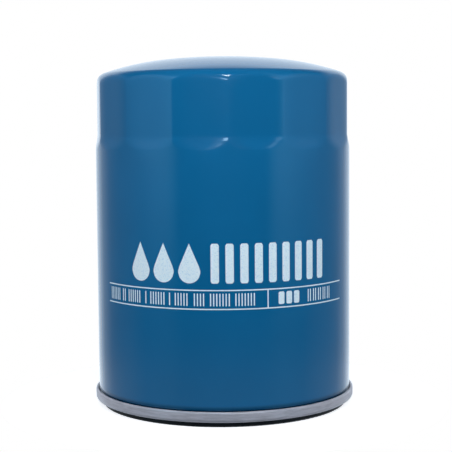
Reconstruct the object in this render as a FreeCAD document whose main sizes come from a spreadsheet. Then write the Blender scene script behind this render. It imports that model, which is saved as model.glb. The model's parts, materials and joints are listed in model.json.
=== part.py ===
import FreeCAD, Part
import math
import os
import re

import Sketcher

# Spin-on oil filter. Millimetres, +Z up. The origin is the centre of the gasket's sealing face,
# which is the face that the filter stands on and seals the engine with. A ridge between two
# wrench flats points along -Y.

vector = FreeCAD.Vector
doc = FreeCAD.newDocument("oil_filter")

# ---------------------------------------------------------------- driving dimensions

SIZES = {
    # Can: a drawn steel cup with a domed end and wrench flats.
    "can_radius": (48.0, "outer radius below the wrench flats"),
    "can_wall": (0.42, "sheet thickness"),
    "no_inset": (0, "inset of the can's outside"),
    "overall_height": (131.1, "sealing face to the top of the dome"),
    "crown_radius": (215.0, "dome's profile radius at the middle"),
    "crown_reach": (22.0, "radius where the crown meets the shoulder arc"),
    "shoulder_radius": (105.0, "dome's profile radius outside the crown"),
    "corner_radius": (5.0, "profile radius from the dome to the side"),
    "neck_radius": (47.8, "radius of the ridges between the flats"),
    "neck_top": (104.0, "height where the ridges start to widen to the can"),
    "neck_foot": (98.0, "height where they have the can's radius"),
    "flat_count": (15, "wrench flats"),
    "flat_apothem": (47.05, "axis to each flat"),
    "flat_foot": (103.0, "height where the flats start to run out"),
    "run_out_radius": (28.0, "radius of the arc through which they run out"),
    # Double seam between the can and the lid.
    "lid_sheet": (0.4, "sheet thickness of the seaming lid"),
    "seam_gap": (0.02, "clearance between the seam's layers"),
    "seam_bottom": (2.1, "height of the seam's lower face"),
    "seam_top": (5.95, "height of the seam's upper curl"),
    "cover_hook_end": (3.45, "height of the lid's hook inside the seam"),
    "body_hook_top": (5.1, "height of the can's hook inside the seam"),
    "hook_chamfer": (0.54, "chamfer of the can's hook in the lid's outer bend"),
    "flange_chamfer": (0.28, "chamfer of the can's flange in the lid's chuck bend"),
    "seam_bend": (0.7, "inner bend radius of the lid at the seam's outer foot"),
    "chuck_bend": (0.3, "inner bend radius of the lid at the chuck wall's foot"),
    "hook_bend": (0.15, "inner bend radius of the lid at the seam's top"),
    # Lid's gasket channel.
    "channel_ceiling": (5.6, "height of the face that the gasket sits against"),
    "retainer_radius": (38.6, "inner radius of the channel's inner wall"),
    "retainer_bottom": (3.4, "height of that wall's free edge"),
    "channel_bend": (0.2, "inner bend radius of the channel's corners"),
    # Gasket.
    "gasket_outer": (46.6, "outer radius"),
    "gasket_inner": (39.4, "inner radius"),
    "gasket_edge": (0.5, "radius of the edges at the sealing face"),
    "gasket_back_edge": (0.4, "radius of the edges in the channel"),
    # Tapping plate.
    "plate_radius": (46.6, "outer radius"),
    "plate_sheet": (3.6, "thickness"),
    "hub_radius": (17.0, "outer radius of the extruded hub"),
    "hub_top": (18.0, "height of the hub's upper face"),
    "thread_minor": (12.42, "bore radius: minor radius of an M27 x 2 thread"),
    "thread_lead_in": (0.8, "countersink at the thread's mouth"),
    "plate_edge": (0.8, "radius of the lower outer edge"),
    "plate_back_edge": (0.4, "radius of the upper outer edge"),
    "hub_root": (1.5, "fillet between the plate and the hub"),
    "hub_edge": (0.8, "radius of the hub's upper edge"),
    "inlet_radius": (3.5, "radius of each oil inlet hole"),
    "inlet_circle": (28.0, "radius of the circle that they lie on"),
    "inlet_count": (8, "oil inlet holes"),
    # Anti-drainback valve.
    "valve_inner": (21.4, "inner radius of the collar"),
    "valve_outer": (36.5, "outer radius of the lip"),
    "valve_collar": (2.2, "radial thickness of the collar"),
    "valve_web": (1.56, "height of the conical web where it meets the collar"),
    "valve_rise": (3.9, "height of the collar"),
    "valve_lip_rise": (0.9, "height of the lip at its outer edge"),
    "valve_lip_width": (1.6, "radial width of the lip that seals on the plate"),
    "valve_edge": (0.3, "radius of its moulded edges"),
    # Element grommet.
    "bush_outer": (21.0, "outer radius"),
    "bush_neck": (18.0, "outer radius of the neck inside the lower cap"),
    "bush_gap": (0.05, "radial gap between the bush and the hub"),
    "bush_chamfer": (1.8, "room for the hub's root fillet"),
    "bush_neck_rise": (1.6, "how far the neck stands above the lower cap's face"),
    "bush_foot_edge": (0.5, "radius of the lower outer edge"),
    "bush_edge": (0.3, "radius of the other outer edges"),
    # Filter element.
    "cap_sheet": (0.4, "sheet thickness of both end caps"),
    "cap_radius": (42.5, "outer radius of both end caps"),
    "cap_rim": (4.0, "height of the end caps' outer rims"),
    "lower_cap_face": (20.0, "height of the lower cap's underside"),
    "lower_cap_hole": (18.3, "radius of the lower cap's centre hole"),
    "upper_cap_face": (113.0, "height of the upper cap's top side"),
    "upper_cap_hole": (14.0, "radius of the upper cap's centre hole"),
    "cap_bend": (0.6, "inner bend radius of both outer rims"),
    "cap_hole_bend": (0.2, "inner bend radius of the lower cap's inner rim"),
    "potting": (2.0, "thickness of the adhesive in each cap"),
    "potting_gap": (0.02, "radial gap between the adhesive and the inner rim"),
    "potting_edge": (0.25, "radius of the adhesive's inner edge"),
    "media_outer": (41.4, "radius of the pleats' outer folds"),
    "media_inner": (21.5, "radius of the pleats' inner folds"),
    "paper": (0.55, "thickness of the paper"),
    "pleat_count": (48, "pleats"),
    "outer_fold": (0.95, "half width of an outer fold"),
    "pleat_gap": (0.25, "half gap between two pleats at the inner folds"),
    "clip_depth": (8.5, "radial depth of the seam clip"),
    "clip_half_width": (1.1, "half of the clip's inside width"),
    "clip_gap": (0.15, "radial gap between the clip and the fold"),
    "clip_sheet": (0.35, "sheet thickness of the clip"),
    "tube_radius": (19.4, "outer radius of the centre tube"),
    "tube_wall": (0.4, "wall of the centre tube"),
    "perforation": (2.4, "radius of the tube's holes"),
    "perforation_rows": (11, "holes up the tube"),
    "perforation_columns": (10, "holes round the tube"),
    # Bypass valve.
    "cage_radius": (13.0, "outer radius of the cage"),
    "cage_flange": (15.8, "radius of the cage's flange"),
    "cage_sheet": (0.4, "sheet thickness of the cage"),
    "cage_bottom": (96.0, "height of the cage's underside"),
    "cage_slot_width": (10.0, "width of each slot in the cage's wall"),
    "cage_slot_sill": (3.0, "height of the slots' lower edge over the cage's bottom"),
    "cage_slot_height": (9.0, "height of each slot"),
    "cage_slot_count": (4, "slots"),
    "guide_radius": (3.2, "radius of the stem's guide hole"),
    "guide_collar": (1.6, "height of the collar round the guide hole"),
    "cage_bend": (0.8, "inner bend radius of the cage's floor"),
    "cage_flange_bend": (0.3, "bend radius under the flange"),
    "guide_bend": (0.2, "bend radius at the collar's root"),
    "port_radius": (9.0, "radius of the bypass port"),
    "seat_radius": (13.9, "outer radius of the seat ring"),
    "seat_height": (0.8, "thickness of the seat ring"),
    "seat_edge": (0.2, "radius of the seat ring's edges"),
    "port_edge": (0.3, "radius of the port's upper edge"),
    "poppet_radius": (11.9, "radius of the poppet's disc"),
    "poppet_sheet": (0.8, "thickness of the poppet's disc"),
    "poppet_boss": (8.0, "radius of the boss that centres the seal"),
    "poppet_boss_rise": (0.7, "height of that boss"),
    "stem_radius": (2.5, "radius of the guide stem"),
    "stem_end": (92.5, "height of the stem's lower end"),
    "stem_tip": (0.8, "radius of the stem's tip"),
    "stem_root": (0.4, "fillet between the stem and the disc"),
    "poppet_edge": (0.2, "radius of the disc's edges"),
    "boss_edge": (0.3, "radius of the boss's edge"),
    "seal_outer": (11.6, "outer radius of the poppet's seal"),
    "seal_inner": (8.2, "inner radius of the poppet's seal"),
    "seal_height": (1.0, "thickness of the poppet's seal"),
    "seal_edge": (0.2, "radius of the seal's upper edges"),
    "bypass_wire": (0.6, "radius of the bypass spring's wire"),
    "bypass_coil": (7.0, "mean radius of the bypass spring"),
    "bypass_turns": (5, "turns of the bypass spring"),
    # Load spring.
    "load_wire": (1.2, "radius of the load spring's wire"),
    "load_coil": (17.5, "mean radius of the load spring"),
    "load_turns": (4, "turns of the load spring"),
    "load_top": (129.75, "height of the load spring's upper end"),
    # Cutters.
    "overrun": (2, "how far the cutters pass the faces"),
}

# How far the pattern's count may be off when it is worked out from the volumes removed.
COUNT_TOLERANCE = 0.01

sheet = doc.addObject("Spreadsheet::Sheet", "sizes")
for row, (name, (number, note)) in enumerate(SIZES.items(), start=1):
    sheet.set("A%d" % row, name.replace("_", " "))
    sheet.set("B%d" % row, str(number))
    sheet.setAlias("B%d" % row, name)
    sheet.set("C%d" % row, note)
doc.recompute()


def bound(expression):
    """The expression with each size's name written as the sheet's own cell."""
    return re.sub(r"[a-z_]+", lambda word: "sizes." + word.group(0), expression)


def size(expression):
    """The number that an expression over the sheet's names has now."""
    return float(sheet.evalExpression(bound(expression)))


# Heights that follow from the driving ones, as expressions.
CEILING_TOP = "(channel_ceiling + lid_sheet)"
PLATE_TOP = "(%s + plate_sheet)" % CEILING_TOP
LOWER_POTTING = "(lower_cap_face + cap_sheet)"
MEDIA_BOTTOM = "(%s + potting)" % LOWER_POTTING
UPPER_POTTING = "(upper_cap_face - cap_sheet)"
MEDIA_TOP = "(%s - potting)" % UPPER_POTTING
SEAL_BOTTOM = "(%s - seal_height)" % UPPER_POTTING
POPPET_BOTTOM = "(%s - poppet_sheet)" % SEAL_BOTTOM
CAGE_FLOOR = "(cage_bottom + cage_sheet)"

# Radii of the seam's layers, from the inside out.
CAN_BORE = "(can_radius - can_wall)"
CHUCK_OUTER = "(%s - seam_gap)" % CAN_BORE
CHUCK_INNER = "(%s - lid_sheet)" % CHUCK_OUTER
COVER_HOOK = "(can_radius + seam_gap)"
COVER_HOOK_OUTER = "(%s + lid_sheet)" % COVER_HOOK
BODY_HOOK = "(%s + seam_gap)" % COVER_HOOK_OUTER
BODY_HOOK_OUTER = "(%s + can_wall)" % BODY_HOOK
SEAM_WALL = "(%s + seam_gap)" % BODY_HOOK_OUTER
SEAM_OUTER = "(%s + lid_sheet)" % SEAM_WALL


# ---------------------------------------------------------------- sketch and feature helpers

def new_body(name):
    return doc.addObject("PartDesign::Body", name)


def new_sketch(body, name, plane):
    sketch = body.newObject("Sketcher::SketchObject", name)
    origin_plane = next(item for item in body.Origin.OriginFeatures if item.Role == plane)
    sketch.AttachmentSupport = [(origin_plane, "")]
    sketch.MapMode = "FlatFace"
    return sketch


def bind_number(sketch, name, constraint, expression):
    """Add a dimension and bind it to the sheet."""
    index = sketch.addConstraint(Sketcher.Constraint(*constraint, size(expression)))
    sketch.renameConstraint(index, name)
    sketch.setExpression("Constraints." + name, bound(expression))


def pin_point(sketch, name, geometry, point, across, up):
    """Hold a point at its distances from the sketch's origin. A "0" puts it on the axis."""
    for kind, expression, axis in (("DistanceX", across, -2), ("DistanceY", up, -1)):
        if expression == "0":
            sketch.addConstraint(Sketcher.Constraint("PointOnObject", geometry, point, axis))
        else:
            bind_number(sketch, name + kind[-1], (kind, -1, 1, geometry, point), expression)


def add_arc(sketch, centre, radius, first, last):
    """Add the arc from first to last, going either way round. Return it and its two end numbers."""
    start = math.atan2(first.y - centre.y, first.x - centre.x)
    sweep = (math.atan2(last.y - centre.y, last.x - centre.x) - start) % math.tau
    circle = Part.Circle(centre, vector(0, 0, 1), radius)
    if sweep < math.pi:
        return sketch.addGeometry(Part.ArcOfCircle(circle, start, start + sweep)), 1, 2
    return sketch.addGeometry(Part.ArcOfCircle(circle, start + sweep, start + math.tau)), 2, 1


def outline(sketch, corners):
    """Draw a closed outline through corners of (across, up) or (across, up, arc radius)."""
    points = [vector(size(corner[0]), size(corner[1]), 0) for corner in corners]
    count = len(corners)
    ends = []
    for i, corner in enumerate(corners):
        if len(corner) == 2:
            ends.append((points[i], points[i], None))
            continue
        back = (points[i - 1] - points[i]).normalize()
        ahead = (points[(i + 1) % count] - points[i]).normalize()
        half = back.getAngle(ahead) / 2
        reach = size(corner[2]) / math.tan(half)
        middle = (back + ahead).normalize() * (size(corner[2]) / math.sin(half))
        ends.append((points[i] + back * reach, points[i] + ahead * reach, points[i] + middle))
    lines = [sketch.addGeometry(Part.LineSegment(ends[i][1], ends[(i + 1) % count][0]))
             for i in range(count)]
    for i, corner in enumerate(corners):
        name = "corner%d" % i
        if len(corner) == 2:
            sketch.addConstraint(Sketcher.Constraint("Coincident", lines[i - 1], 2, lines[i], 1))
            pin_point(sketch, name, lines[i], 1, corner[0], corner[1])
            continue
        arc, near, far = add_arc(sketch, ends[i][2], size(corner[2]), ends[i][0], ends[i][1])
        mark = sketch.addGeometry(Part.Point(points[i]), True)
        sketch.addConstraint(Sketcher.Constraint("Tangent", lines[i - 1], 2, arc, near))
        sketch.addConstraint(Sketcher.Constraint("Tangent", arc, far, lines[i], 1))
        sketch.addConstraint(Sketcher.Constraint("PointOnObject", mark, 1, lines[i - 1]))
        sketch.addConstraint(Sketcher.Constraint("PointOnObject", mark, 1, lines[i]))
        pin_point(sketch, name, mark, 1, corner[0], corner[1])
        bind_number(sketch, name + "R", ("Radius", arc), corner[2])


def revolve(body, sketch):
    feature = body.newObject("PartDesign::Revolution", body.Name + "_turned")
    feature.Profile = sketch
    feature.ReferenceAxis = (sketch, ["V_Axis"])
    feature.Angle = 360
    doc.recompute()
    return feature


def turned(name, corners):
    """A body of revolution about Z, from its outline of radii and heights."""
    body = new_body(name)
    sketch = new_sketch(body, name + "_outline", "XZ_Plane")
    outline(sketch, corners)
    revolve(body, sketch)
    return body


def pocket_all_round(body, sketch, count, both_sides=False, depth=None):
    """Pocket a sketch through the body, then repeat it about Z."""
    before = body.Shape.Volume
    pocket = body.newObject("PartDesign::Pocket", sketch.Name + "_pocket")
    pocket.Profile = sketch
    if depth:
        pocket.Type = "Length"
        pocket.setExpression("Length", bound(depth))
    else:
        pocket.Type = "ThroughAll"
    pocket.Midplane = both_sides
    doc.recompute()
    single = before - body.Shape.Volume
    pattern = body.newObject("PartDesign::PolarPattern", sketch.Name + "_pattern")
    pattern.Originals = [pocket]
    pattern.Axis = (next(f for f in body.Origin.OriginFeatures if f.Role == "Z_Axis"), [""])
    pattern.Angle = 360
    pattern.setExpression("Occurrences", bound(count))
    body.Tip = pattern
    doc.recompute()
    removed = before - body.Shape.Volume
    if single <= 0 or abs(removed / single - size(count)) > COUNT_TOLERANCE:
        raise RuntimeError("%s removed %.3f of %.3f each" % (sketch.Name, removed, single))


def coil(name, mean_radius, wire_radius, bottom, top, turns):
    """A round-wire spring about Z, whose wire touches both heights."""
    body = new_body(name)
    sketch = new_sketch(body, name + "_wire", "XZ_Plane")
    centre = vector(size(mean_radius), size("%s + %s" % (bottom, wire_radius)), 0)
    wire = sketch.addGeometry(Part.Circle(centre, vector(0, 0, 1), size(wire_radius)))
    pin_point(sketch, "centre", wire, 3, mean_radius, "%s + %s" % (bottom, wire_radius))
    bind_number(sketch, "wire", ("Radius", wire), wire_radius)
    helix = body.newObject("PartDesign::AdditiveHelix", name + "_helix")
    helix.Profile = sketch
    helix.ReferenceAxis = (sketch, ["V_Axis"])
    helix.Mode = "height-turns-angle"
    helix.setExpression("Height", bound("%s - %s - 2 * %s" % (top, bottom, wire_radius)))
    helix.setExpression("Turns", bound(turns))
    doc.recompute()
    return body


# ---------------------------------------------------------------- can

def can_profile(sketch, inset, foot):
    """Dome, corner, neck and side, moved inwards by inset. foot closes the outline below."""
    top = "overall_height - %s" % inset
    crown = size("crown_radius - " + inset)
    shoulder = size("shoulder_radius - " + inset)
    corner = size("corner_radius - " + inset)
    joint = "crown_reach * (crown_radius - %s) / crown_radius" % inset
    neck = "neck_radius - %s" % inset
    side = "can_radius - %s" % inset

    # The crown's centre is on the axis, and each arc's centre lies on the last arc's end radius.
    crown_centre = vector(0, size(top) - crown, 0)
    tilt = math.asin(size(joint) / crown)
    outward = vector(math.sin(tilt), math.cos(tilt), 0)
    crown_end = crown_centre + outward * crown
    shoulder_centre = crown_end - outward * shoulder
    corner_across = size(neck) - corner
    steep = math.asin((corner_across - shoulder_centre.x) / (shoulder - corner))
    outward = vector(math.sin(steep), math.cos(steep), 0)
    shoulder_end = shoulder_centre + outward * shoulder
    corner_centre = shoulder_end - outward * corner
    corner_end = corner_centre + vector(corner, 0, 0)

    crown_arc, near, far = add_arc(sketch, crown_centre, crown, vector(0, size(top), 0), crown_end)
    shoulder_arc, second_near, second_far = add_arc(
        sketch, shoulder_centre, shoulder, crown_end, shoulder_end)
    corner_arc, third_near, third_far = add_arc(
        sketch, corner_centre, corner, shoulder_end, corner_end)

    stops = [(neck, "neck_top"), (side, "neck_foot")] + foot
    points = [corner_end] + [vector(size(x), size(y), 0) for x, y in stops]
    lines = [sketch.addGeometry(Part.LineSegment(points[i], points[i + 1]))
             for i in range(len(stops))]
    axis_line = sketch.addGeometry(Part.LineSegment(points[-1], vector(0, size(top), 0)))

    add = sketch.addConstraint
    add(Sketcher.Constraint("Tangent", crown_arc, far, shoulder_arc, second_near))
    add(Sketcher.Constraint("Tangent", shoulder_arc, second_far, corner_arc, third_near))
    add(Sketcher.Constraint("Tangent", corner_arc, third_far, lines[0], 1))
    add(Sketcher.Constraint("Vertical", lines[0]))
    add(Sketcher.Constraint("PointOnObject", crown_arc, 3, -2))
    pin_point(sketch, "top", crown_arc, near, "0", top)
    bind_number(sketch, "joint", ("DistanceX", -1, 1, crown_arc, far), joint)
    bind_number(sketch, "crown", ("Radius", crown_arc), "crown_radius - " + inset)
    bind_number(sketch, "shoulder", ("Radius", shoulder_arc), "shoulder_radius - " + inset)
    bind_number(sketch, "corner", ("Radius", corner_arc), "corner_radius - " + inset)
    for i, (across, up) in enumerate(stops):
        following = lines[i + 1] if i + 1 < len(lines) else axis_line
        add(Sketcher.Constraint("Coincident", lines[i], 2, following, 1))
        pin_point(sketch, "stop%d" % i, lines[i], 2, across, up)
    add(Sketcher.Constraint("Coincident", axis_line, 2, crown_arc, near))


def wrench_flat(sketch, inset):
    """Cutter for one flat: a straight face that runs out to the side through an arc."""
    flat = "flat_apothem - " + inset
    above = "overall_height + overrun"
    outside = "can_radius + overrun"
    apothem = size(flat)
    foot = size("flat_foot")
    radius = size("run_out_radius")
    drop = math.sqrt(radius ** 2 - (radius - size(outside) + apothem) ** 2)
    foot_point = vector(apothem, foot, 0)
    end = vector(size(outside), foot - drop, 0)
    points = [end, vector(end.x, size(above), 0), vector(apothem, size(above), 0), foot_point]
    lines = [sketch.addGeometry(Part.LineSegment(points[i], points[i + 1])) for i in range(3)]
    centre = vector(apothem + radius, foot, 0)
    arc, near, far = add_arc(sketch, centre, radius, foot_point, end)

    add = sketch.addConstraint
    add(Sketcher.Constraint("Coincident", lines[0], 2, lines[1], 1))
    add(Sketcher.Constraint("Coincident", lines[1], 2, lines[2], 1))
    add(Sketcher.Constraint("Tangent", lines[2], 2, arc, near))
    add(Sketcher.Constraint("Coincident", arc, far, lines[0], 1))
    add(Sketcher.Constraint("Vertical", lines[0]))
    add(Sketcher.Constraint("Horizontal", lines[1]))
    add(Sketcher.Constraint("Vertical", lines[2]))
    pin_point(sketch, "foot", lines[2], 2, flat, "flat_foot")
    pin_point(sketch, "above", lines[0], 2, outside, above)
    bind_number(sketch, "run_out", ("Radius", arc), "run_out_radius")


def can_solid(name, inset, foot):
    body = new_body(name)
    profile = new_sketch(body, name + "_profile", "XZ_Plane")
    can_profile(profile, inset, foot)
    revolve(body, profile)
    flat = new_sketch(body, name + "_flat", "YZ_Plane")
    wrench_flat(flat, inset)
    pocket_all_round(body, flat, "flat_count", both_sides=True)
    return body


def make_can():
    """The can's outside, with the hook that its flange makes in the seam, less its inside."""
    hook_bottom = "seam_bottom + lid_sheet + seam_gap"
    hook_chamfer_top = hook_bottom + " + hook_chamfer"
    flange_chamfer_top = hook_bottom + " + flange_chamfer"
    outside = can_solid("can_outside", "no_inset", [
        ("can_radius", hook_bottom + " + can_wall"),
        (BODY_HOOK, hook_bottom + " + can_wall"),
        (BODY_HOOK, "body_hook_top"),
        (BODY_HOOK_OUTER, "body_hook_top"),
        (BODY_HOOK_OUTER, hook_chamfer_top),
        (BODY_HOOK_OUTER + " - hook_chamfer", hook_bottom),
        (CAN_BORE + " + flange_chamfer", hook_bottom),
        (CAN_BORE, flange_chamfer_top),
        ("0", flange_chamfer_top),
    ])
    inside = can_solid("can_inside", "can_wall", [
        (CAN_BORE, "seam_bottom"),
        ("0", "seam_bottom"),
    ])
    can = doc.addObject("Part::Cut", "can")
    can.Base = outside
    can.Tool = inside
    doc.recompute()
    return can


# ---------------------------------------------------------------- base: lid, gasket, plate

def make_seaming_lid():
    retainer_outer = "retainer_radius + lid_sheet"
    return turned("seaming_lid", [
        ("retainer_radius", "retainer_bottom"),
        ("retainer_radius", CEILING_TOP, "lid_sheet + channel_bend"),
        (CHUCK_OUTER, CEILING_TOP, "lid_sheet + channel_bend"),
        (CHUCK_OUTER, "seam_bottom + lid_sheet", "chuck_bend"),
        (SEAM_WALL, "seam_bottom + lid_sheet", "seam_bend"),
        (SEAM_WALL, "seam_top - lid_sheet", "hook_bend"),
        (COVER_HOOK_OUTER, "seam_top - lid_sheet", "hook_bend"),
        (COVER_HOOK_OUTER, "cover_hook_end"),
        (COVER_HOOK, "cover_hook_end"),
        (COVER_HOOK, "seam_top", "lid_sheet + hook_bend"),
        (SEAM_OUTER, "seam_top", "lid_sheet + hook_bend"),
        (SEAM_OUTER, "seam_bottom", "lid_sheet + seam_bend"),
        (CHUCK_INNER, "seam_bottom", "lid_sheet + chuck_bend"),
        (CHUCK_INNER, "channel_ceiling", "channel_bend"),
        (retainer_outer, "channel_ceiling", "channel_bend"),
        (retainer_outer, "retainer_bottom"),
    ])


def make_seam_compound():
    bottom = "seam_bottom + lid_sheet + can_wall + 2 * seam_gap"
    return turned("seam_compound", [
        (COVER_HOOK, bottom),
        (COVER_HOOK_OUTER, bottom),
        (COVER_HOOK_OUTER, "cover_hook_end - seam_gap"),
        (COVER_HOOK, "cover_hook_end - seam_gap"),
    ])


def make_sealing_gasket():
    return turned("sealing_gasket", [
        ("gasket_inner", "0", "gasket_edge"),
        ("gasket_outer", "0", "gasket_edge"),
        ("gasket_outer", "channel_ceiling", "gasket_back_edge"),
        ("gasket_inner", "channel_ceiling", "gasket_back_edge"),
    ])


def make_tapping_plate():
    body = turned("tapping_plate", [
        ("thread_minor + thread_lead_in", CEILING_TOP),
        ("plate_radius", CEILING_TOP, "plate_edge"),
        ("plate_radius", PLATE_TOP, "plate_back_edge"),
        ("hub_radius", PLATE_TOP, "hub_root"),
        ("hub_radius", "hub_top", "hub_edge"),
        ("thread_minor", "hub_top"),
        ("thread_minor", CEILING_TOP + " + thread_lead_in"),
    ])
    holes = new_sketch(body, "inlet_hole", "XY_Plane")
    circle = Part.Circle(vector(size("inlet_circle"), 0, 0), vector(0, 0, 1), size("inlet_radius"))
    hole = holes.addGeometry(circle)
    pin_point(holes, "centre", hole, 3, "inlet_circle", "0")
    bind_number(holes, "hole", ("Radius", hole), "inlet_radius")
    pocket_all_round(body, holes, "inlet_count", both_sides=True)
    return body


def make_anti_drainback_valve():
    collar_outer = "valve_inner + valve_collar"
    collar_top = PLATE_TOP + " + valve_rise"
    lip_top = PLATE_TOP + " + valve_lip_rise"
    return turned("anti_drainback_valve", [
        ("valve_inner", PLATE_TOP),
        ("valve_inner", collar_top, "valve_edge"),
        (collar_outer, collar_top, "valve_edge"),
        ("valve_outer", lip_top, "valve_edge"),
        ("valve_outer", PLATE_TOP, "valve_edge"),
        ("valve_outer - valve_lip_width", PLATE_TOP, "valve_edge"),
        ("valve_outer - 2 * valve_lip_width", lip_top),
        (collar_outer, collar_top + " - valve_web"),
        (collar_outer, PLATE_TOP),
    ])


def make_element_grommet():
    inner = "hub_radius + bush_gap"
    return turned("element_grommet", [
        (inner + " + bush_chamfer", PLATE_TOP),
        ("bush_outer", PLATE_TOP, "bush_foot_edge"),
        ("bush_outer", "lower_cap_face", "bush_edge"),
        ("bush_neck", "lower_cap_face"),
        ("bush_neck", "lower_cap_face + bush_neck_rise", "bush_edge"),
        (inner, "lower_cap_face + bush_neck_rise"),
        (inner, PLATE_TOP + " + bush_chamfer"),
    ])


# ---------------------------------------------------------------- filter element

def make_lower_end_cap():
    rim_top = "lower_cap_face + cap_rim"
    inner_rim = "lower_cap_hole + cap_sheet"
    outer_rim = "cap_radius - cap_sheet"
    floor = "lower_cap_face + cap_sheet"
    return turned("lower_end_cap", [
        ("lower_cap_hole", "lower_cap_face"),
        ("cap_radius", "lower_cap_face", "cap_sheet + cap_bend"),
        ("cap_radius", rim_top),
        (outer_rim, rim_top),
        (outer_rim, floor, "cap_bend"),
        (inner_rim, floor, "cap_hole_bend"),
        (inner_rim, rim_top),
        ("lower_cap_hole", rim_top),
    ])


def make_upper_end_cap():
    underside = "upper_cap_face - cap_sheet"
    outer_rim = "cap_radius - cap_sheet"
    return turned("upper_end_cap", [
        ("upper_cap_hole", "upper_cap_face"),
        ("upper_cap_hole", underside),
        (outer_rim, underside, "cap_bend"),
        (outer_rim, "upper_cap_face - cap_rim"),
        ("cap_radius", "upper_cap_face - cap_rim"),
        ("cap_radius", "upper_cap_face", "cap_sheet + cap_bend"),
    ])


# The adhesive in each cap follows the cap's bent corners.
POTTING_INNER = "lower_cap_hole + cap_sheet + potting_gap"
POTTING_OUTER = "cap_radius - cap_sheet"


def make_lower_cap_adhesive():
    return turned("lower_cap_adhesive", [
        (POTTING_INNER, LOWER_POTTING, "potting_edge"),
        (POTTING_OUTER, LOWER_POTTING, "cap_bend"),
        (POTTING_OUTER, MEDIA_BOTTOM),
        (POTTING_INNER, MEDIA_BOTTOM),
    ])


def make_upper_cap_adhesive():
    return turned("upper_cap_adhesive", [
        (POTTING_INNER, MEDIA_TOP),
        (POTTING_OUTER, MEDIA_TOP),
        (POTTING_OUTER, UPPER_POTTING, "cap_bend"),
        (POTTING_INNER, UPPER_POTTING),
    ])


def make_filter_media():
    """A closed zigzag of paper: the space between an outer and an inner folded outline."""
    count = int(size("pleat_count"))
    paper = size("paper")
    outer_radius = size("media_outer")
    inner_radius = size("media_inner")
    fold = size("outer_fold")
    half_pitch = math.pi / count
    inner_fold = size("pleat_gap")

    def folded(tip_radius, tip_half, valley_radius, valley_half):
        points = []
        for pleat in range(count):
            for angle, radius, half in (
                (2 * pleat * half_pitch, tip_radius, tip_half),
                ((2 * pleat + 1) * half_pitch, valley_radius, valley_half),
            ):
                ray = vector(math.cos(angle), math.sin(angle), 0)
                across = vector(-math.sin(angle), math.cos(angle), 0)
                points.append(ray * radius - across * half)
                points.append(ray * radius + across * half)
        return Part.Wire(Part.makePolygon(points + [points[0]]).Edges)

    outer = folded(outer_radius, fold, inner_radius + paper, inner_fold)
    inner = folded(outer_radius - paper, fold - paper, inner_radius, inner_fold + paper)
    rise = vector(0, 0, size(MEDIA_TOP) - size(MEDIA_BOTTOM))
    solid = Part.Face(outer).extrude(rise).cut(Part.Face(inner).extrude(rise))
    media = doc.addObject("Part::Feature", "filter_media")
    media.Shape = solid.Solids[0]
    media.Placement.Base = vector(0, 0, size(MEDIA_BOTTOM))
    doc.recompute()
    return media


def make_media_seam_clip():
    """A channel over one outer fold: a bar less the slot that the fold lies in."""
    back = "(media_outer + clip_gap)"

    def bar(name, half_width, near, far):
        box = doc.addObject("Part::Box", name)
        box.setExpression("Length", bound("%s - (%s)" % (far, near)))
        box.setExpression("Width", bound("2 * (%s)" % half_width))
        box.setExpression("Height", bound("%s - %s" % (MEDIA_TOP, MEDIA_BOTTOM)))
        box.setExpression("Placement.Base.x", bound(near))
        box.setExpression("Placement.Base.y", bound("0 - (%s)" % half_width))
        box.setExpression("Placement.Base.z", bound(MEDIA_BOTTOM))
        return box

    mouth = back + " - clip_depth"
    clip = doc.addObject("Part::Cut", "media_seam_clip")
    clip.Base = bar("clip_bar", "clip_half_width + clip_sheet", mouth, back + " + clip_sheet")
    clip.Tool = bar("clip_slot", "clip_half_width", mouth, back)
    doc.recompute()
    return clip


def make_centre_tube():
    body = turned("centre_tube", [
        ("tube_radius - tube_wall", MEDIA_BOTTOM),
        ("tube_radius", MEDIA_BOTTOM),
        ("tube_radius", MEDIA_TOP),
        ("tube_radius - tube_wall", MEDIA_TOP),
    ])
    holes = new_sketch(body, "perforation_column", "XZ_Plane")
    pitch = "(%s - %s) / (perforation_rows)" % (MEDIA_TOP, MEDIA_BOTTOM)
    for row in range(int(size("perforation_rows"))):
        height = "%s + (%s) * %.1f" % (MEDIA_BOTTOM, pitch, row + 0.5)
        circle = Part.Circle(vector(0, size(height), 0), vector(0, 0, 1), size("perforation"))
        hole = holes.addGeometry(circle)
        pin_point(holes, "hole%d" % row, hole, 3, "0", height)
        bind_number(holes, "radius%d" % row, ("Radius", hole), "perforation")
    pocket_all_round(body, holes, "perforation_columns", depth="tube_radius + overrun")
    return body


# ---------------------------------------------------------------- bypass valve and load spring

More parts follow.
